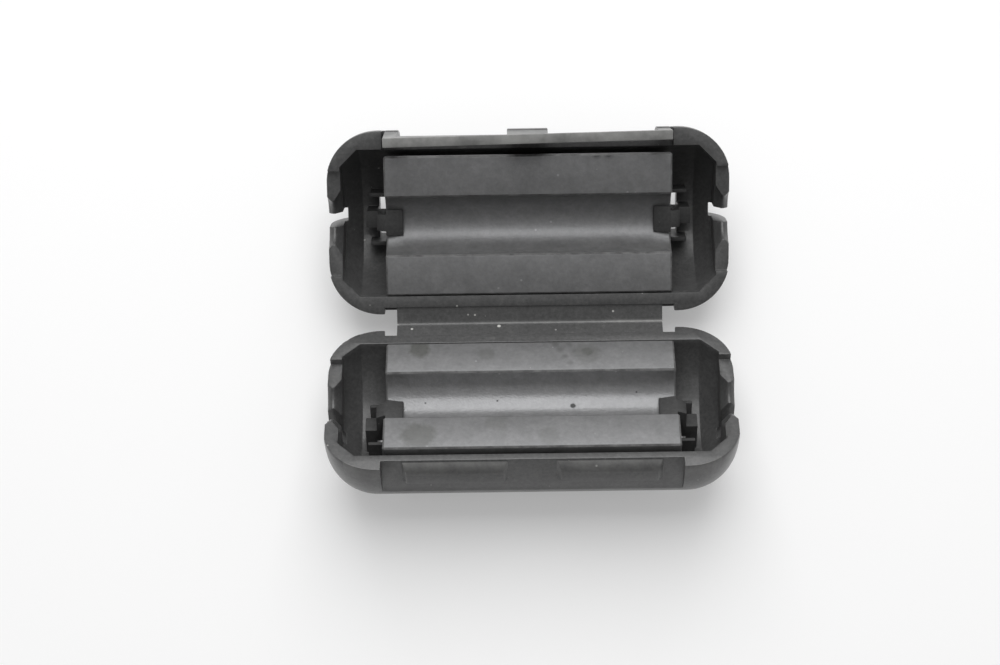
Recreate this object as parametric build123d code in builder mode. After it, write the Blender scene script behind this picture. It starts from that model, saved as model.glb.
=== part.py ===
# Clip-on ferrite bead, lying open on its two round backs with the hinge between them.
# Millimetres, +Z up. The hinge runs along X above the origin, and the floor is at z = 0.
# The base half lies towards -Y and the lid half towards +Y. Each half is drawn in a frame of
# its own: x along the hinge, y across the mating face from the crease, z out of that face.
import os
from math import cos, radians, sin, sqrt, tan

from build123d import *

os.makedirs("parts", exist_ok=True)

# Posture: how far each mating face leans up from the floor
half_tilt = 29.0

# Ferrite cores
core_length = 25.0
core_radius = 6.15
bore_radius = 2.55
core_edge = 0.15
face_gap = 0.04

# Case halves, each half of a round-ended barrel round its core
core_play = 0.35
wall = 1.6
end_bay = 3.8
end_wall = 1.2
end_round = 4.5
cavity_bevel = 1.5
rim_drop = 0.15
hinge_reach = 0.75
axis_drop = 0.2
core_settle = 0.25

# Cable fingers in the end walls
finger_span = 9.3
finger_drop = 0.65
saddle_grip = 0.45
saddle_flare = 0.9
saddle_bevel = 0.35
grip_slot = 1.2
grip_slot_reach = 1.45
grip_slot_depth = 7.2

# Hooks that hold the cores, each on a buttress between two ribs, over an opening for the mould
hook_width = 2.3
post_width = 1.5
post_thickness = 0.7
post_foot_height = 1.5
hook_gap = 0.1
nose_height = 0.65
nose_tip_height = 0.35
hook_reach = 1.5
hook_clear = 0.1
hook_root = 0.5
buttress_thickness = 1.0
buttress_height = 2.8
rib_thickness = 0.35
rib_length = 1.4
rib_height = 2.75
opening_reach = 1.1
opening_span = 4.0

# Latch: a windowed flap on the lid drops over two ridges on the flat front of the base
latch_length = 25.2
latch_clear = 0.08
front_wall = 0.65
flap_thickness = 0.82
flap_slit = 0.3
flap_height = 3.8
flap_groove = 2.0
tip_bar = 1.3
window_floor = 0.5
relief_wall = 0.92
relief_depth = 5.0
relief_lean = 13.4
mid_bar = 3.5
end_bar = 1.15
ridge_height = 0.6
ridge_start = 0.3
ridge_crest = 1.4
ridge_back = 0.1
ridge_end_gap = 0.25
ridge_end_bevel = 0.4

# Living hinge
hinge_length = 23.3
hinge_slot = 1.05
hinge_land = 1.35
hinge_land_depth = 1.3
web_thickness = 0.6
crease_thickness = 0.3

overrun = 1.0

# Values that follow
cavity_radius = core_radius + core_play
cavity_length = core_length + 2 * end_bay
case_radius = cavity_radius + wall
case_length = cavity_length + 2 * end_wall
hinge_to_axis = case_radius + hinge_reach
core_to_crease = hinge_to_axis - core_settle
saddle_radius = bore_radius - saddle_grip
hook_top = bore_radius - hook_clear - nose_height
hook_tip = bore_radius - hook_clear - nose_tip_height
latch_face = hinge_to_axis + cavity_radius + front_wall
latch_run_out = sqrt(case_radius**2 - (latch_face - hinge_to_axis) ** 2)
ridge_length = (latch_length - flap_slit * 2 - mid_bar) / 2 - end_bar - 2 * ridge_end_gap
ridge_centre = mid_bar / 2 + ridge_end_gap + ridge_length / 2
window_length = ridge_length + 2 * ridge_end_gap
window_top = flap_height - tip_bar
back_depth = case_radius + axis_drop * cos(radians(half_tilt))
hinge_height = back_depth - hinge_to_axis * sin(radians(half_tilt))

# The two mating faces, both through the crease of the hinge
crease = Vector(0, 0, hinge_height)
base_face = Plane(crease, x_dir=(1, 0, 0), z_dir=Vector(0, 0, 1).rotate(Axis.X, -half_tilt))
lid_face = Plane(crease, x_dir=(1, 0, 0), z_dir=Vector(0, 0, 1).rotate(Axis.X, half_tilt))


def in_frame(face, plane):
    """A plane of a half's own frame, as it lies in the object."""
    return Plane(face.location * plane.location)


def barrel(face, centre, drop, radius, length, ease, size):
    """A barrel along the hinge; ease is what is done to its ends, a fillet or a chamfer."""
    barrel_axis = Axis(face.from_local_coords(Vector(0, centre, -drop)), face.x_dir)
    with BuildPart() as shape:
        with BuildSketch(in_frame(face, Plane.XY.offset(-drop))) as profile:
            with Locations((0, centre)):
                Rectangle(length, radius, align=(Align.CENTER, Align.MIN))
            ease(profile.vertices().group_by(Axis.Y)[-1], size)
        revolve(axis=barrel_axis)
    return shape.part


def half_case(face, side):
    """The moulding that both halves share; side is the way the half lies from the crease."""
    axis_y = side * hinge_to_axis
    core_y = side * core_to_crease
    rim = in_frame(face, Plane.XY.offset(-rim_drop))
    mating = in_frame(face, Plane.XY)
    cable_axis = Axis(face.from_local_coords(Vector(0, axis_y, 0)), face.x_dir)
    with BuildPart() as case:
        add(barrel(face, axis_y, axis_drop, case_radius, case_length, fillet, end_round))
        cavity = barrel(face, axis_y, 0, cavity_radius, cavity_length, chamfer, cavity_bevel)
        add(cavity, mode=Mode.SUBTRACT)
        split(bisect_by=rim, keep=Keep.BOTTOM)

        # The end walls step down to the cable fingers
        finger_cut = end_round + overrun
        with BuildSketch(rim):
            with Locations((-case_length / 2, axis_y), (case_length / 2, axis_y)):
                Rectangle(finger_cut, finger_span)
        extrude(amount=-finger_drop, mode=Mode.SUBTRACT)

        # A cable saddle in each end wall, flared inwards and bevelled outwards
        inside = cavity_length / 2
        outside = case_length / 2
        for end in (-1, 1):
            with BuildSketch(mating):
                with BuildLine():
                    Polyline(
                        (end * (inside - overrun), axis_y),
                        (end * (inside - overrun), axis_y + saddle_radius + saddle_flare),
                        (end * inside, axis_y + saddle_radius + saddle_flare),
                        (end * (inside + end_wall / 2), axis_y + saddle_radius),
                        (end * (outside - saddle_bevel), axis_y + saddle_radius),
                        (end * (outside + overrun), axis_y + saddle_radius + saddle_bevel + overrun),
                        (end * (outside + overrun), axis_y),
                        close=True,
                    )
                make_face()
            revolve(axis=cable_axis, mode=Mode.SUBTRACT)

        # A slot parts the two fingers of each end wall
        slot_length = grip_slot_reach + overrun
        slot_centre = case_length / 2 - grip_slot_reach + slot_length / 2
        with BuildSketch(mating):
            with Locations((-slot_centre, axis_y), (slot_centre, axis_y)):
                Rectangle(slot_length, grip_slot)
        extrude(amount=-grip_slot_depth, mode=Mode.SUBTRACT)

        # An opening in the back under each hook
        core_end = core_length / 2
        post_face = core_end + hook_gap
        post_back = post_face + post_thickness
        opening_length = opening_reach + hook_gap + post_thickness
        opening_centre = post_back - opening_length / 2
        with BuildSketch(in_frame(face, Plane.XY.offset(-core_radius + wall))):
            with Locations((-opening_centre, core_y), (opening_centre, core_y)):
                Rectangle(opening_length, opening_span)
        extrude(amount=-case_radius, mode=Mode.SUBTRACT)

        # The ribs beside each opening
        rib_centre = post_face + rib_length / 2
        rib_offset = opening_span / 2 + rib_thickness / 2
        with BuildSketch(in_frame(face, Plane.XY.offset(-cavity_radius - hook_root))):
            for offset in (-rib_offset, rib_offset):
                with Locations((-rib_centre, core_y + offset), (rib_centre, core_y + offset)):
                    Rectangle(rib_length, rib_thickness)
        extrude(amount=rib_height + hook_root)

        # The hooks: a post on a buttress behind each core end, and a nose that reaches into the channel
        buttress_back = post_back + buttress_thickness
        buttress_top = cavity_radius - buttress_height
        nose_tip = core_end - hook_reach
        nose_foot = bore_radius + hook_root
        for end in (-1, 1):
            with BuildSketch(in_frame(face, Plane.XZ.offset(-core_y))):
                with BuildLine():
                    Polyline(
                        (end * buttress_back, -cavity_radius - hook_root),
                        (end * buttress_back, -buttress_top),
                        (end * post_back, -buttress_top),
                        (end * post_back, -hook_tip),
                        (end * post_face, -hook_top),
                        (end * core_end, -hook_top),
                        (end * nose_tip, -hook_tip),
                        (end * nose_tip, -nose_foot),
                        (end * post_face, -nose_foot),
                        (end * post_face, -cavity_radius + post_foot_height),
                        (end * post_back, -cavity_radius + post_foot_height),
                        (end * post_back, -cavity_radius - hook_root),
                        close=True,
                    )
                make_face()
            extrude(amount=post_width / 2, both=True)
            with BuildSketch(in_frame(face, Plane.XZ.offset(-core_y))):
                with BuildLine():
                    Polyline(
                        (end * core_end, -hook_top),
                        (end * nose_tip, -hook_tip),
                        (end * nose_tip, -nose_foot),
                        (end * core_end, -nose_foot),
                        close=True,
                    )
                make_face()
            extrude(amount=hook_width / 2, both=True)

        # The noses clear the round channel they sit in
        with BuildSketch(in_frame(face, Plane.YZ.offset(-core_end - hook_gap))):
            with Locations((core_y, 0)):
                Circle(nose_foot + hook_root)
                Circle(bore_radius - hook_clear, mode=Mode.SUBTRACT)
        extrude(amount=core_length + 2 * hook_gap, mode=Mode.SUBTRACT)

        # A flat land for the web of the hinge, with a slot at each end of it
        with BuildSketch(rim):
            Rectangle(hinge_length + 2 * hinge_slot, 2 * hinge_land)
        extrude(amount=-hinge_land_depth, mode=Mode.SUBTRACT)
    return case.part


def half_core(face, side):
    """A ferrite half cylinder with a half-round channel and a ground flat face."""
    with BuildPart() as core:
        with BuildSketch(in_frame(face, Plane.YZ.offset(-core_length / 2))):
            with Locations((side * core_to_crease, 0)):
                Circle(core_radius)
                Circle(bore_radius, mode=Mode.SUBTRACT)
        extrude(amount=core_length)
        split(bisect_by=in_frame(face, Plane.XY.offset(-face_gap / 2)), keep=Keep.BOTTOM)
        chamfer(core.edges(), core_edge)
    return core.part


def latch_ridge(face, place):
    """A rounded ridge on the flat front of the base, with bevelled ends."""
    ridge_foot = window_top - ridge_back
    root = -latch_face + front_wall / 2
    crest = -latch_face - ridge_height
    half_length = ridge_length / 2
    with BuildPart() as ridge:
        with BuildSketch(in_frame(face, Plane.YZ.offset(place - half_length))):
            with BuildLine():
                TangentArc((crest, -ridge_crest), (-latch_face, -ridge_start), tangent=(0, 1))
                Polyline(
                    (-latch_face, -ridge_start),
                    (root, -ridge_start),
                    (root, -ridge_foot),
                    (crest, -ridge_foot),
                    (crest, -ridge_crest),
                )
            make_face()
        extrude(amount=ridge_length)
        with BuildSketch(in_frame(face, Plane.XY)):
            with BuildLine():
                Polyline(
                    (place - half_length, root),
                    (place - half_length, -latch_face),
                    (place - half_length + ridge_end_bevel, crest),
                    (place + half_length - ridge_end_bevel, crest),
                    (place + half_length, -latch_face),
                    (place + half_length, root),
                    close=True,
                )
            make_face()
        extrude(amount=-ridge_foot, mode=Mode.INTERSECT)
    return ridge.part


# Base half: the front is cut flat, and two ridges on it carry the latch
with BuildPart() as base_shell:
    add(half_case(base_face, -1))
    with BuildSketch(in_frame(base_face, Plane.XY)):
        with Locations((0, -latch_face)):
            Rectangle(latch_length, case_radius, align=(Align.CENTER, Align.MAX))
    extrude(amount=-latch_run_out - overrun, mode=Mode.SUBTRACT)
    for place in (-ridge_centre, ridge_centre):
        add(latch_ridge(base_face, place))
base_shell.part.label = "base_shell"
export_step(base_shell.part, "parts/base_shell.step")

# Lid half: the wall is thinned to a springy flap that stands past the rim, with two windows
flap_inner = latch_face + latch_clear
flap_centre = flap_inner + flap_thickness / 2
flap_length = latch_length - 2 * flap_slit
with BuildPart() as lid_shell:
    add(half_case(lid_face, 1))
    with BuildSketch(in_frame(lid_face, Plane.XY)):
        with Locations((0, flap_inner)):
            Rectangle(latch_length, wall, align=(Align.CENTER, Align.MAX))
        slit_centre = latch_length / 2 - flap_slit / 2
        with Locations((-slit_centre, flap_inner), (slit_centre, flap_inner)):
            Rectangle(flap_slit, 2 * wall)
    extrude(amount=-flap_groove, mode=Mode.SUBTRACT)
    with BuildSketch(in_frame(lid_face, Plane.XY.offset(flap_height))):
        with Locations((0, flap_centre)):
            Rectangle(flap_length, flap_thickness)
    extrude(amount=-flap_height - window_floor)
    with BuildSketch(in_frame(lid_face, Plane.XZ.offset(-flap_centre))):
        with Locations((-ridge_centre, window_top), (ridge_centre, window_top)):
            Rectangle(window_length, window_top + window_floor, align=(Align.CENTER, Align.MAX))
    extrude(amount=wall, both=True, mode=Mode.SUBTRACT)

    # Below each window the wall is relieved with a draft, so that the three bars stand proud
    sill = hinge_to_axis + cavity_radius + relief_wall
    relief_foot = sill - (relief_depth - window_floor) * tan(radians(relief_lean))
    beyond = hinge_to_axis + case_radius + overrun
    for place in (-ridge_centre, ridge_centre):
        with BuildSketch(in_frame(lid_face, Plane.YZ.offset(place))):
            with BuildLine():
                Polyline(
                    (sill, -window_floor),
                    (relief_foot, -relief_depth),
                    (beyond, -relief_depth),
                    (beyond, -window_floor),
                    close=True,
                )
            make_face()
        extrude(amount=window_length / 2, both=True, mode=Mode.SUBTRACT)
lid_shell.part.label = "lid_shell"
export_step(lid_shell.part, "parts/lid_shell.step")

# Living hinge: a thin web between the two lands, thinnest along the crease
web_top = -rim_drop
web_floor = -rim_drop - web_thickness
crease_top = crease - Vector(0, 0, rim_drop / cos(radians(half_tilt)))
crease_floor = crease_top - Vector(0, 0, crease_thickness)
web_outline = [
    base_face.from_local_coords(Vector(0, -hinge_land, web_top)),
    crease_top,
    lid_face.from_local_coords(Vector(0, hinge_land, web_top)),
    lid_face.from_local_coords(Vector(0, hinge_land, web_floor)),
    crease_floor,
    base_face.from_local_coords(Vector(0, -hinge_land, web_floor)),
]
with BuildPart() as living_hinge:
    with BuildSketch(Plane.YZ):
        with BuildLine():
            Polyline(*[(corner.Y, corner.Z) for corner in web_outline], close=True)
        make_face()
    extrude(amount=hinge_length / 2, both=True)
living_hinge.part.label = "living_hinge"
export_step(living_hinge.part, "parts/living_hinge.step")

# Ferrite cores, one in each half
with BuildPart() as base_core:
    add(half_core(base_face, -1))
base_core.part.label = "base_core"
export_step(base_core.part, "parts/base_core.step")

with BuildPart() as lid_core:
    add(half_core(lid_face, 1))
lid_core.part.label = "lid_core"
export_step(lid_core.part, "parts/lid_core.step")
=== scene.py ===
from math import cos, radians, sin, sqrt, tan

import bpy
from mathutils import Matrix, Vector


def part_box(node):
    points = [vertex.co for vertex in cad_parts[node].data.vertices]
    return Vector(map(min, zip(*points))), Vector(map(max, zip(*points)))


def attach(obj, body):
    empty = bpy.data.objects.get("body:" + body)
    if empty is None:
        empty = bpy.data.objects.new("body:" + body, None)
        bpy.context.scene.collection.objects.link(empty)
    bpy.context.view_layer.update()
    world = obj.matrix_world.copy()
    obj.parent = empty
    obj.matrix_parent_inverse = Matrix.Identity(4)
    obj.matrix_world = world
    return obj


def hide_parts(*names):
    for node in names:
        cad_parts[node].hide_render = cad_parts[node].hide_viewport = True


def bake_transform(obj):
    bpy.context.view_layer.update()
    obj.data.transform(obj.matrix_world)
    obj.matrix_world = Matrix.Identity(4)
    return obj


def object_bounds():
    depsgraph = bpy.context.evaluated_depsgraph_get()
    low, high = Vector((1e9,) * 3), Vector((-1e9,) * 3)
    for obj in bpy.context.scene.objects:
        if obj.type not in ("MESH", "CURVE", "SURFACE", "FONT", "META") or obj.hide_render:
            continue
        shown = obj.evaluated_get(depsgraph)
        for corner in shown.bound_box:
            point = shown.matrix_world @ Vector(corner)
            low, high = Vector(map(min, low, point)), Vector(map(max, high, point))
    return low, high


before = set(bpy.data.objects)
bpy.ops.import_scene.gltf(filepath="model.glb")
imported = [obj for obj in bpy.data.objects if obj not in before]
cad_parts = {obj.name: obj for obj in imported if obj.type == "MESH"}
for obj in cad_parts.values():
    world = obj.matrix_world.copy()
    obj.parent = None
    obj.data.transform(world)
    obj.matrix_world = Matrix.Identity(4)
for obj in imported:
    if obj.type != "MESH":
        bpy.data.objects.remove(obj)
cad_low, cad_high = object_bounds()

# Ferrite cores: two half cylinders pressed from ferrite powder and sintered to a dark grey ceramic.
# The mating faces are ground flat, the channel is as pressed, and wet fingers have left dull stains.
# Each core lies loose in its half of the case under two hooks.
mm = 0.001
half_lean = radians(29.0)
hinge_line = Vector((0, 0, 3.984 * mm))
halves = {
    "base": (Vector((0, -cos(half_lean), sin(half_lean))), Vector((0, sin(half_lean), cos(half_lean)))),
    "lid": (Vector((0, cos(half_lean), sin(half_lean))), Vector((0, -sin(half_lean), cos(half_lean)))),
}


def on_half(body, x, across, depth):
    """A place on a half, in millimetres along the hinge, away from it and under the mating face."""
    outward, upward = halves[body]
    return hinge_line + Vector((x * mm, 0, 0)) + outward * across * mm - upward * depth * mm


def in_half(body, place):
    """How far a place lies from the hinge line and above the mating face, in millimetres."""
    outward, upward = halves[body]
    from_hinge = place - hinge_line
    return from_hinge.dot(outward) / mm, from_hinge.dot(upward) / mm


def feed(tree, socket, value):
    """Feeds a socket from another socket, or sets it to a number, a place or a colour."""
    if isinstance(value, bpy.types.NodeSocket):
        tree.links.new(value, socket)
    elif socket.type == "RGBA":
        socket.default_value = (*value, 1)
    else:
        socket.default_value = value


def add_node(tree, kind, x, y, **values):
    """A node at a place in the tree, with its settings."""
    node = tree.nodes.new("ShaderNode" + kind)
    node.location = (x, y)
    for name, value in values.items():
        setattr(node, name, value)
    return node


def math_node(tree, operation, first, second, x, y, clamp=False):
    """A sum, product or other reckoning with two values."""
    node = add_node(tree, "Math", x, y, operation=operation, use_clamp=clamp)
    feed(tree, node.inputs[0], first)
    feed(tree, node.inputs[1], second)
    return node.outputs[0]


def slope_node(tree, value, low, high, x, y):
    """A value passed through a straight slope between two (value, level) ends and level beyond them."""
    node = add_node(tree, "MapRange", x, y)
    feed(tree, node.inputs["Value"], value)
    feed(tree, node.inputs["From Min"], low[0])
    feed(tree, node.inputs["From Max"], high[0])
    feed(tree, node.inputs["To Min"], low[1])
    feed(tree, node.inputs["To Max"], high[1])
    return node.outputs["Result"]


def mix_colour(tree, blend_type, factor, first, second, x, y):
    """Two colours mixed by a factor."""
    node = add_node(tree, "Mix", x, y, data_type="RGBA", blend_type=blend_type)
    # A Mix node set to colours has its factor, its two colours and its result at these places
    feed(tree, node.inputs[0], factor)
    feed(tree, node.inputs[6], first)
    feed(tree, node.inputs[7], second)
    return node.outputs[2]


def noise_node(tree, vector, scale, detail, breakup, x, y):
    """Noise of one scale, in cycles per metre."""
    node = add_node(tree, "TexNoise", x, y)
    feed(tree, node.inputs["Vector"], vector)
    feed(tree, node.inputs["Scale"], scale)
    feed(tree, node.inputs["Detail"], detail)
    feed(tree, node.inputs["Roughness"], breakup)
    return node.outputs["Fac"]


def new_group(name, inputs, outputs):
    """An empty shader node group on a surface place, with named numbers in and out."""
    group = bpy.data.node_groups.new(name, "ShaderNodeTree")
    group.interface.new_socket("Vector", in_out="INPUT", socket_type="NodeSocketVector")
    for socket, kind in inputs:
        group.interface.new_socket(socket, in_out="INPUT", socket_type="NodeSocket" + kind)
    for socket in outputs:
        group.interface.new_socket(socket, in_out="OUTPUT", socket_type="NodeSocketFloat")
    start = group.nodes.new("NodeGroupInput")
    start.location = (-600, 0)
    end = group.nodes.new("NodeGroupOutput")
    end.location = (900, 0)
    return group, start.outputs, end.inputs


def mottle_group():
    """Uneven tone over a surface, between a darkest and a palest level."""
    group, given, made = new_group("mottle", [
        ("Patches per metre", "Float"),
        ("Detail", "Float"),
        ("Breakup", "Float"),
        ("Dark below", "Float"),
        ("Pale above", "Float"),
        ("Darkest", "Float"),
        ("Palest", "Float"),
    ], ["Tone", "Pattern"])
    pattern = noise_node(
        group, given["Vector"], given["Patches per metre"], given["Detail"], given["Breakup"], -300, 0
    )
    dark_end = (given["Dark below"], given["Darkest"])
    crease_highlight_end = (given["Pale above"], given["Palest"])
    feed(group, made["Tone"], slope_node(group, pattern, dark_end, crease_highlight_end, 300, 0))
    feed(group, made["Pattern"], pattern)
    return group


def grain_group():
    """The fine roughness of a surface, as a height that raises it."""
    group, given, made = new_group("grain", [
        ("Grains per metre", "Float"),
        ("Detail", "Float"),
        ("Breakup", "Float"),
        ("Strength", "Float"),
    ], ["Height"])
    pattern = noise_node(
        group, given["Vector"], given["Grains per metre"], given["Detail"], given["Breakup"], -300, 0
    )
    feed(group, made["Height"], math_node(group, "MULTIPLY", pattern, given["Strength"], 300, 0))
    return group


def speck_group():
    """Fine specks strewn over a surface."""
    group, given, made = new_group("specks", [
        ("Specks per metre", "Float"),
        ("Speck size", "Float"),
        ("Rarity", "Float"),
    ], ["Specks"])
    cells = add_node(group, "TexVoronoi", -300, 0)
    feed(group, cells.inputs["Vector"], given["Vector"])
    feed(group, cells.inputs["Scale"], given["Specks per metre"])
    chance = add_node(group, "SeparateColor", -100, -200)
    feed(group, chance.inputs[0], cells.outputs["Color"])
    kept = math_node(group, "GREATER_THAN", chance.outputs[0], given["Rarity"], 100, -200)
    size = math_node(group, "MULTIPLY", chance.outputs[1], given["Speck size"], 100, -400)
    inside = math_node(group, "SUBTRACT", size, cells.outputs["Distance"], 300, -100)
    edge_sharpness = 25.0
    soft = math_node(group, "MULTIPLY", inside, edge_sharpness, 500, -100, clamp=True)
    feed(group, made["Specks"], math_node(group, "MULTIPLY", soft, kept, 700, -100))
    return group


def patch_group():
    """A round patch with a ragged edge at a place on the object."""
    group, given, made = new_group("patch", [
        ("Place", "Vector"),
        ("Radius", "Float"),
        ("Edge", "Float"),
        ("Raggedness", "Float"),
    ], ["Patch"])
    away = add_node(group, "VectorMath", -300, 0, operation="DISTANCE")
    feed(group, away.inputs[0], given["Vector"])
    feed(group, away.inputs[1], given["Place"])
    share = math_node(group, "DIVIDE", away.outputs["Value"], given["Radius"], -100, 0)
    noise = noise_node(group, given["Vector"], scale=1400, detail=3, breakup=0.6, x=-300, y=-300)
    centred = math_node(group, "SUBTRACT", noise, 0.5, -100, -300)
    ragged = math_node(group, "MULTIPLY", centred, given["Raggedness"], 100, -300)
    reach = math_node(group, "ADD", share, ragged, 300, 0)
    inside = math_node(group, "SUBTRACT", 1.0, reach, 500, 0)
    feed(group, made["Patch"], math_node(group, "DIVIDE", inside, given["Edge"], 700, 0, clamp=True))
    return group


mottle = mottle_group()
grain = grain_group()
specks = speck_group()
patch = patch_group()


def place_group(tree, group, vector, x, y, **values):
    """A group in a material, with its own values; gives what it makes."""
    node = add_node(tree, "Group", x, y, node_tree=group)
    feed(tree, node.inputs["Vector"], vector)
    for name, value in values.items():
        feed(tree, node.inputs[name.replace("_", " ")], value)
    return node.outputs


def lay_patches(tree, vector, colour, patches, tint, edge, raggedness, x, y):
    """Lays patches over a colour, each a place, a radius and a strength."""
    for step, (centre, radius, strength) in enumerate(patches):
        row = y - 250 * step
        made = place_group(
            tree, patch, vector, x, row, Place=centre, Radius=radius, Edge=edge, Raggedness=raggedness
        )
        faint = math_node(tree, "MULTIPLY", made["Patch"], strength, x + 200, row)
        colour = mix_colour(tree, "MIX", faint, colour, tint, x + 400, row)
    return colour


def new_material(name):
    """A material with its Principled shader and its Object coordinates."""
    material = bpy.data.materials.new(name)
    material.use_nodes = True
    tree = material.node_tree
    coordinates = add_node(tree, "TexCoord", -4000, 0)
    return material, tree, tree.nodes["Principled BSDF"], coordinates.outputs["Object"]


def bump_into(tree, shader, height, strength, distance):
    """Raises the surface by a height before it reaches the shader."""
    bump = add_node(tree, "Bump", -250, -400)
    feed(tree, bump.inputs["Strength"], strength)
    feed(tree, bump.inputs["Distance"], distance)
    feed(tree, bump.inputs["Height"], height)
    feed(tree, shader.inputs["Normal"], bump.outputs["Normal"])


def ferrite_material():
    """Sintered ferrite: dark grey, finely mottled, with dull round stains, and painted shade for a few
    pits and a chipped edge.
    """
    material, tree, shader, place = new_material("ferrite")
    cloud = place_group(
        tree, mottle, place, -3700, 300,
        Patches_per_metre=700.0, Detail=5.0, Breakup=0.65,
        Dark_below=0.3, Pale_above=0.7, Darkest=0.088, Palest=0.13,
    )
    fine = place_group(
        tree, mottle, place, -3700, 0,
        Patches_per_metre=2600.0, Detail=3.0, Breakup=0.65,
        Dark_below=0.3, Pale_above=0.7, Darkest=0.84, Palest=1.16,
    )
    shade = mix_colour(tree, "MULTIPLY", 1.0, cloud["Tone"], fine["Tone"], -3100, 200)
    grit = place_group(
        tree, specks, place, -3400, -300, Specks_per_metre=1500.0, Speck_size=0.2, Rarity=0.88
    )
    grit_grey = (0.2, 0.2, 0.2)
    shade = mix_colour(tree, "MIX", grit["Specks"], shade, grit_grey, -2900, 200)
    stain_brown = (0.02, 0.021, 0.012)
    stains = (
        (on_half("base", -9.6, 3.3, 0), 1.05 * mm, 0.75),
        (on_half("base", -3.8, 3.9, 0), 0.8 * mm, 0.3),
        (on_half("base", 4.8, 3.9, 0), 1.45 * mm, 0.3),
        (on_half("base", 4.9, 3.8, 0), 0.6 * mm, 0.6),
        (on_half("base", -9.5, 13.3, 0), 1.7 * mm, 0.65),
        (on_half("base", -3.0, 11.8, 0), 1.2 * mm, 0.25),
        (on_half("base", 1.5, 13.6, 0), 1.1 * mm, 0.25),
    )
    shade = lay_patches(tree, place, shade, stains, stain_brown, edge=0.35, raggedness=0.9, x=-2600, y=0)
    smear_grey = (0.025, 0.025, 0.022)
    smears = (
        (on_half("base", 2.2, 2.8, 0), 0.45 * mm, 0.6),
        (on_half("base", 2.6, 3.5, 0), 0.45 * mm, 0.6),
        (on_half("base", 3.0, 4.3, 0), 0.4 * mm, 0.6),
        (on_half("base", 3.4, 5.1, 0), 0.4 * mm, 0.5),
        (on_half("base", 3.4, 2.9, 0), 0.35 * mm, 0.5),
        (on_half("base", 3.8, 3.7, 0), 0.3 * mm, 0.5),
    )
    shade = lay_patches(tree, place, shade, smears, smear_grey, edge=0.7, raggedness=0.7, x=-2600, y=-2000)
    # Pits and a chipped notch on the lid core's edge are not cut into the solid; their shade is painted as
    # near-black patches, which are also made rough.
    pit_shade_black = (0.015, 0.015, 0.014)
    painted_pit_shades = (
        (on_half("base", -9.1, 7.5, 2.3), 0.14 * mm, 0.9),
        (on_half("base", 3.6, 7.9, 2.45), 0.32 * mm, 0.82),
        (on_half("base", -2.9, 7.4, 2.25), 0.12 * mm, 0.9),
        (on_half("base", 9.1, 6.9, 1.9), 0.12 * mm, 0.9),
        (on_half("lid", 6.0, 14.7, 0.1), 0.5 * mm, 0.8),
        (on_half("lid", 7.0, 14.7, 0.1), 0.5 * mm, 0.8),
    )
    shade = lay_patches(tree, place, shade, painted_pit_shades, pit_shade_black, edge=0.5, raggedness=0.5, x=-1800, y=0)
    feed(tree, shader.inputs["Base Color"], shade)
    ground_roughness = 0.44
    pressed_roughness = 0.29
    stained_roughness = 0.9
    stained_shade = 0.025
    clean_shade = 0.07
    pressed = add_node(tree, "Attribute", -1000, -300, attribute_name="pressed").outputs["Fac"]
    polish = slope_node(tree, pressed, (0.0, ground_roughness), (1.0, pressed_roughness), -700, -200)
    unpolished = slope_node(tree, shade, (stained_shade, stained_roughness), (clean_shade, 0.0), -700, 0)
    feed(tree, shader.inputs["Roughness"], math_node(tree, "MAXIMUM", polish, unpolished, -400, -100))
    feed(tree, shader.inputs["IOR"], 2.0)
    feed(tree, shader.inputs["Specular Tint"], (0.97, 0.98, 1.0))
    ground_grain = 0.45
    pressed_grain = 0.8
    coarse = slope_node(tree, pressed, (0.0, ground_grain), (1.0, pressed_grain), -700, -500)
    grains = place_group(
        tree, grain, place, -450, -500,
        Grains_per_metre=5200.0, Detail=2.0, Breakup=0.6, Strength=coarse,
    )
    bump_into(tree, shader, grains["Height"], strength=1.0, distance=0.025 * mm)
    return material


def edge_material():
    """The broken edge between a ground face and a pressed one: dull, with no polish."""
    material, tree, shader, place = new_material("ferrite_edge")
    chips = place_group(
        tree, mottle, place, -700, 200,
        Patches_per_metre=900.0, Detail=4.0, Breakup=0.7,
        Dark_below=0.35, Pale_above=0.65, Darkest=0.07, Palest=0.15,
    )
    feed(tree, shader.inputs["Base Color"], chips["Tone"])
    feed(tree, shader.inputs["Roughness"], 0.75)
    grains = place_group(
        tree, grain, place, -700, -200,
        Grains_per_metre=4000.0, Detail=3.0, Breakup=0.7, Strength=1.0,
    )
    bump_into(tree, shader, grains["Height"], strength=1.0, distance=0.04 * mm)
    return material


def finished_copy(node, edge_round):
    """A copy of the node's solid, merged to one skin and with softened edges."""
    seam_width = 0.002 * mm
    flat_angle = radians(0.3)
    edge_angle = radians(32)
    piece = bpy.data.objects.new(node + "_finished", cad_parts[node].data.copy())
    bpy.context.scene.collection.objects.link(piece)
    bpy.ops.object.select_all(action="DESELECT")
    piece.select_set(True)
    bpy.context.view_layer.objects.active = piece
    bpy.ops.mesh.customdata_custom_splitnormals_clear()
    bpy.ops.object.mode_set(mode="EDIT")
    bpy.ops.mesh.select_all(action="SELECT")
    bpy.ops.mesh.remove_doubles(threshold=seam_width)
    bpy.ops.mesh.dissolve_limited(angle_limit=flat_angle)
    bpy.ops.object.mode_set(mode="OBJECT")
    soft = piece.modifiers.new("soft edges", "BEVEL")
    soft.width = edge_round
    soft.segments = 2
    soft.limit_method = "ANGLE"
    soft.angle_limit = edge_angle
    soft.use_clamp_overlap = False
    bpy.ops.object.modifier_apply(modifier=soft.name)
    bpy.ops.object.shade_smooth_by_angle(angle=edge_angle)
    piece.data.materials.clear()
    return piece


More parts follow.
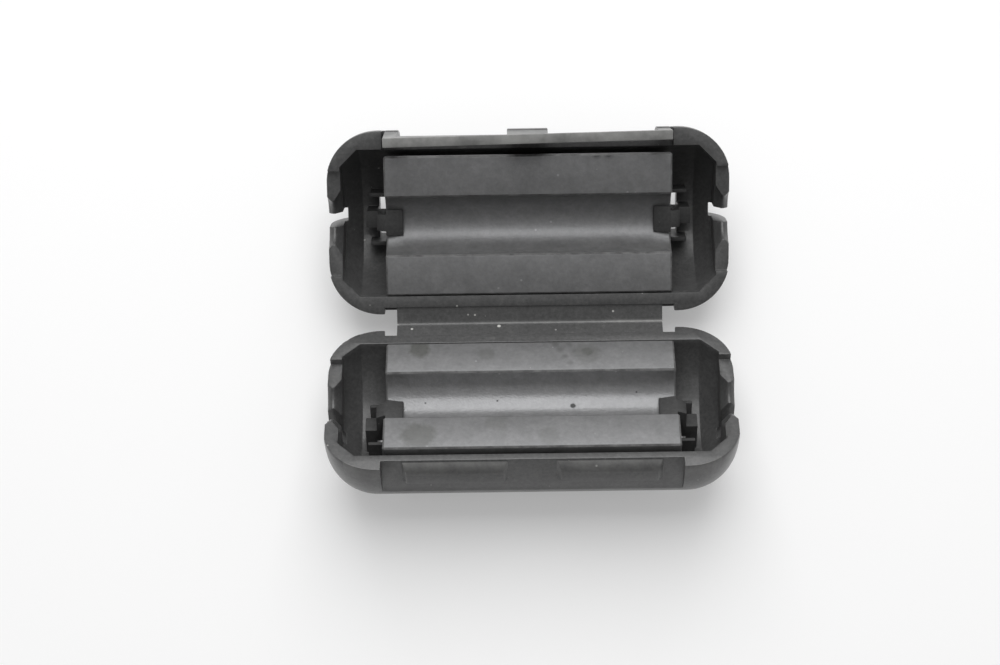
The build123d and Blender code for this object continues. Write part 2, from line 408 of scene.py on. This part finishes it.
ferrite = ferrite_material()
ferrite_edge = edge_material()
core_edge_round = 0.03 * mm
core_middle = 8.6
channel_reach = 2.57
channel_polish = {"base": 1.0, "lid": 0.2}
edge_floor = -0.17
edge_steepest = 0.3
edge_flattest = 0.97
for body in ("base", "lid"):
    core = finished_copy(body + "_core", core_edge_round)
    core.data.materials.append(ferrite)
    core.data.materials.append(ferrite_edge)
    pressed = []
    for face in core.data.polygons:
        across, height = in_half(body, face.center)
        from_axis = sqrt((across - core_middle) ** 2 + height**2)
        pressed.append(channel_polish[body] if from_axis < channel_reach else 0.0)
        upright = face.normal.dot(halves[body][1])
        if height > edge_floor and edge_steepest < upright < edge_flattest:
            face.material_index = 1
    core.data.attributes.new("pressed", "FLOAT", "FACE").data.foreach_set("value", pressed)
    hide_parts(body + "_core")
    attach(core, body)

# Case: one moulding of black nylon, two half barrels with cable fingers, core hooks and a snap latch.
# The mould leaves a fine satin skin, duller on the hooks, which inserts in the mould form; the hooks are
# also darkened in colour as painted shade. The latch flap has sprung a little outwards at one end, and a
# painted highlight pales its top and the tops of the latch ridges.


def plastic_material():
    """Black moulded nylon with a fine satin skin and a little dust, with painted highlights on the latch
    flap, ridges and hinge crease, and painted shade on the hooks.
    """
    material, tree, shader, place = new_material("case_plastic")
    cloud = place_group(
        tree, mottle, place, -2400, 300,
        Patches_per_metre=420.0, Detail=4.0, Breakup=0.6,
        Dark_below=0.3, Pale_above=0.7, Darkest=0.064, Palest=0.08,
    )
    skin_scale = 3200.0
    skin = place_group(
        tree, mottle, place, -2400, 600,
        Patches_per_metre=skin_scale, Detail=4.0, Breakup=0.7,
        Dark_below=0.3, Pale_above=0.7, Darkest=0.74, Palest=1.26,
    )
    shade = mix_colour(tree, "MULTIPLY", 1.0, cloud["Tone"], skin["Tone"], -1900, 400)
    scuffs = place_group(
        tree, mottle, place, -2400, 900,
        Patches_per_metre=900.0, Detail=6.0, Breakup=0.75,
        Dark_below=0.58, Pale_above=0.75, Darkest=0.0, Palest=0.3,
    )
    scuff_grey = (0.2, 0.2, 0.19)
    shade = mix_colour(tree, "MIX", scuffs["Tone"], shade, scuff_grey, -1750, 400)
    # Painted highlight: a pale grey laid over the latch flap top, the ridge tops and the hinge crease,
    # broken up by the cloud pattern.
    painted_highlight = add_node(tree, "Attribute", -2400, 0, attribute_name="painted_highlight").outputs["Fac"]
    faintest_highlight = (0.36, 0.4)
    strongest_highlight = (0.64, 0.95)
    broken = slope_node(tree, cloud["Pattern"], faintest_highlight, strongest_highlight, -2100, 0)
    highlight_share = math_node(tree, "MULTIPLY", painted_highlight, broken, -1800, 0)
    pale_grey = (0.3, 0.3, 0.29)
    shade = mix_colour(tree, "MIX", highlight_share, shade, pale_grey, -1600, 200)
    dust = place_group(
        tree, specks, place, -1700, -300, Specks_per_metre=1300.0, Speck_size=0.14, Rarity=0.8
    )
    shade = mix_colour(tree, "MIX", dust["Specks"], shade, pale_grey, -1400, 200)
    crumb_white = (0.6, 0.6, 0.57)
    crumbs = (
        (on_half("base", -2.7, 0.19, 0.34), 0.17 * mm, 0.95),
        (on_half("base", -10.35, 0.41, 0.34), 0.13 * mm, 0.8),
        (on_half("lid", -4.8, 0.56, 0.34), 0.1 * mm, 0.7),
        (on_half("lid", 7.33, 0.74, 0.34), 0.12 * mm, 0.7),
        (on_half("lid", -6.36, 1.43, 0.15), 0.1 * mm, 0.6),
    )
    shade = lay_patches(tree, place, shade, crumbs, crumb_white, edge=0.4, raggedness=0.4, x=-1200, y=200)
    # The hooks are halved in colour as painted shade, and made rougher for their matt insert finish.
    matt_and_shaded = add_node(tree, "Attribute", -900, -300, attribute_name="matt_and_shaded").outputs["Fac"]
    painted_shade_share = (0.5, 0.5, 0.5)
    shade = mix_colour(tree, "MULTIPLY", matt_and_shaded, shade, painted_shade_share, -400, 200)
    feed(tree, shader.inputs["Base Color"], shade)
    dull_roughness = 0.35
    dullest_satin = (0.25, 0.36)
    glossiest_satin = (0.75, 0.28)
    satin = slope_node(tree, cloud["Pattern"], dullest_satin, glossiest_satin, -700, -100)
    roughened = math_node(tree, "MULTIPLY", matt_and_shaded, dull_roughness, -700, -300)
    feed(tree, shader.inputs["Roughness"], math_node(tree, "ADD", satin, roughened, -400, -200))
    grains = place_group(
        tree, grain, place, -700, -600,
        Grains_per_metre=skin_scale, Detail=4.0, Breakup=0.7, Strength=1.0,
    )
    bump_into(tree, shader, grains["Height"], strength=0.7, distance=0.018 * mm)
    return material


def share_between(value, low, high):
    """How far a value has come from a low end to a high one, from 0 to 1."""
    return min(1.0, max(0.0, (value - low) / (high - low)))


plastic = plastic_material()
shell_edge_round = 0.07 * mm
flap_inside = 15.9
flap_foot = 0.3
flap_tip = 3.8
flap_highlight = 0.9
flap_highlight_foot = 2.3
flap_highlight_top = 3.3
flap_splay = 0.4 * mm
splay_start = 1.0 * mm
splay_end = 12.5 * mm
ridge_inside = 16.06
ridge_foot = -1.7
ridge_highlight = 0.3
ridge_highlight_foot = -1.9
ridge_highlight_top = -0.3
hook_tip = 10.9
hook_back = 14.4
hook_side = 3.2
hook_foot = -5.5
hook_top = -1.0
for body in ("base", "lid"):
    shell = finished_copy(body + "_shell", shell_edge_round)
    shell.data.materials.append(plastic)
    painted_highlight = [0.0] * len(shell.data.loops)
    matt_and_shaded = []
    for face in shell.data.polygons:
        across, height = in_half(body, face.center)
        along = abs(face.center.x) / mm
        on_flap = body == "lid" and across > flap_inside and height > flap_foot
        on_ridge = body == "base" and across > ridge_inside and ridge_foot < height < 0
        on_hook = hook_tip < along < hook_back and abs(across - core_middle) < hook_side
        # Hooks get painted shade in their colour and a rougher finish.
        matt_and_shaded.append(1.0 if on_hook and hook_foot < height < hook_top else 0.0)
        for corner in face.loop_indices:
            vertex = shell.data.vertices[shell.data.loops[corner].vertex_index]
            corner_height = in_half(body, vertex.co)[1]
            # Painted highlight, growing paler towards the top of the flap and of each ridge.
            if on_flap:
                painted_highlight[corner] = flap_highlight * share_between(corner_height, flap_highlight_foot, flap_highlight_top)
            if on_ridge:
                painted_highlight[corner] = ridge_highlight * share_between(corner_height, ridge_highlight_foot, ridge_highlight_top)
    shell.data.attributes.new("painted_highlight", "FLOAT", "CORNER").data.foreach_set("value", painted_highlight)
    shell.data.attributes.new("matt_and_shaded", "FLOAT", "FACE").data.foreach_set("value", matt_and_shaded)
    if body == "lid":
        for vertex in shell.data.vertices:
            across, height = in_half(body, vertex.co)
            if across > flap_inside and height > flap_foot:
                sprung = share_between(vertex.co.x, splay_start, splay_end) ** 2
                sprung *= share_between(height, flap_foot, flap_tip)
                vertex.co.y += flap_splay * sprung
    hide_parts(body + "_shell")
    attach(shell, body)

# Living hinge: a thin web of the same moulding between the two halves, necked along the crease.
# It bends each time the case is opened. A broken pale line is painted along the crease as a highlight,
# stronger towards +x.
hinge_low, hinge_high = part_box("living_hinge")
web_thickness = 0.6 * mm
crease_thickness = 0.3 * mm
crease_height = hinge_high.z - hinge_high.y * tan(half_lean)
crease_round = 0.12 * mm
neck_width = 0.9 * mm
side_gap = 0.02 * mm
crease_highlight_width = 0.2 * mm
crease_highlight_start = -6.0 * mm
crease_highlight_end = 8.0 * mm
crease_highlight_least = 0.15
crease_highlight_added = 0.45
bpy.ops.object.select_all(action="DESELECT")
bpy.ops.mesh.primitive_grid_add(x_subdivisions=46, y_subdivisions=48, size=1)
web = bpy.context.object
web.name = "hinge_web"
thin = web.vertex_groups.new(name="thickness")
half_width = hinge_high.y - side_gap
for vertex in web.data.vertices:
    across = 2 * vertex.co.y * half_width
    rise = (sqrt(across**2 + crease_round**2) - crease_round) * tan(half_lean)
    vertex.co = (vertex.co.x * (hinge_high.x - hinge_low.x), across, crease_height + rise)
    weight = crease_thickness / web_thickness
    weight += (1 - weight) * share_between(abs(across), 0.0, neck_width)
    thin.add([vertex.index], weight, "REPLACE")
wall = web.modifiers.new("web", "SOLIDIFY")
wall.thickness = web_thickness
wall.offset = -1
wall.vertex_group = "thickness"
bpy.ops.object.modifier_apply(modifier=wall.name)
bpy.ops.object.shade_smooth_by_angle(angle=radians(40))
# Painted highlight along the crease, fading away from it and growing stronger towards +x.
painted_highlight = []
for vertex in web.data.vertices:
    near_crease = 1 - share_between(abs(vertex.co.y), 0.0, crease_highlight_width)
    painted_highlight.append(near_crease * (crease_highlight_least + crease_highlight_added * share_between(vertex.co.x, crease_highlight_start, crease_highlight_end)))
web.data.attributes.new("painted_highlight", "FLOAT", "POINT").data.foreach_set("value", painted_highlight)
web.data.materials.append(plastic)
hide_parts("living_hinge")
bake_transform(web)

# Stage: a plain pale floor under a large soft light above and behind, a weaker one low behind, and a
# faint fill from in front. The floor alone is lifted to white where it is seen, and keeps the shadow.
bpy.ops.object.select_all(action="DESELECT")
bpy.ops.mesh.primitive_plane_add(size=4.0)
floor = bpy.context.object
floor.name = "floor"
pale = bpy.data.materials.new("pale_floor")
pale.use_nodes = True
tree = pale.node_tree
paper = tree.nodes["Principled BSDF"]
feed(tree, paper.inputs["Base Color"], (0.68, 0.68, 0.68))
feed(tree, paper.inputs["Roughness"], 0.9)
feed(tree, paper.inputs["Specular IOR Level"], 0.1)
glow = add_node(tree, "Emission", 0, -300)
feed(tree, glow.inputs["Strength"], 0.27)
lit = add_node(tree, "AddShader", 300, -100)
feed(tree, lit.inputs[0], paper.outputs[0])
feed(tree, lit.inputs[1], glow.outputs[0])
seen = add_node(tree, "LightPath", -300, 300)
mirrored = math_node(
    tree, "MAXIMUM", seen.outputs["Is Glossy Ray"], seen.outputs["Is Transmission Ray"], 0, 300
)
looked_at = math_node(tree, "MAXIMUM", seen.outputs["Is Camera Ray"], mirrored, 300, 300)
choice = add_node(tree, "MixShader", 500, 0)
feed(tree, choice.inputs[0], looked_at)
feed(tree, choice.inputs[1], paper.outputs[0])
feed(tree, choice.inputs[2], lit.outputs[0])
feed(tree, tree.nodes["Material Output"].inputs["Surface"], choice.outputs[0])
floor.data.materials.append(pale)

front_level = 0.25
back_level = 0.45
world = bpy.data.worlds.new("studio")
world.use_nodes = True
sky = world.node_tree
heading = add_node(sky, "TexCoord", -900, 0)
parts = add_node(sky, "SeparateXYZ", -700, 0)
feed(sky, parts.inputs[0], heading.outputs["Generated"])
level = slope_node(sky, parts.outputs["Y"], (-0.8, front_level), (0.8, back_level), -400, 0)
feed(sky, sky.nodes["Background"].inputs["Color"], (1, 1, 1))
feed(sky, sky.nodes["Background"].inputs["Strength"], level)
bpy.context.scene.world = world

object_middle = (cad_low + cad_high) / 2


def soft_light(name, lean, distance, width, depth, power):
    """A soft box turned to the object; lean is its angle from overhead, towards the back."""
    lamp = bpy.data.lights.new(name, "AREA")
    lamp.shape = "RECTANGLE"
    lamp.size = width
    lamp.size_y = depth
    lamp.energy = power
    box = bpy.data.objects.new(name, lamp)
    bpy.context.scene.collection.objects.link(box)
    box.location = object_middle + distance * Vector((0, sin(radians(lean)), cos(radians(lean))))
    box.rotation_euler = (-radians(lean), 0, 0)


soft_light("main_softbox", lean=27.0, distance=0.3, width=0.26, depth=0.31, power=0.8)
soft_light("back_softbox", lean=64.0, distance=0.26, width=0.26, depth=0.16, power=0.095)
soft_light("front_fill", lean=-16.0, distance=0.45, width=0.36, depth=0.36, power=0.14)

# Camera: looking down on the open case from in front, as the photograph does. Its lens, place and
# turn were fitted to the corners of the two halves in the photograph.
lens_view = bpy.data.cameras.new("camera")
lens_view.sensor_width = 36.0
lens_view.lens = 80.3
lens_view.clip_start = 0.01
camera = bpy.data.objects.new("camera", lens_view)
bpy.context.scene.collection.objects.link(camera)
camera.location = Vector((-0.939, -54.213, 192.210)) * mm
camera.rotation_euler = (radians(15.783), radians(0.692), radians(-0.638))
bpy.context.scene.camera = camera
bpy.context.scene.view_settings.view_transform = "Standard"
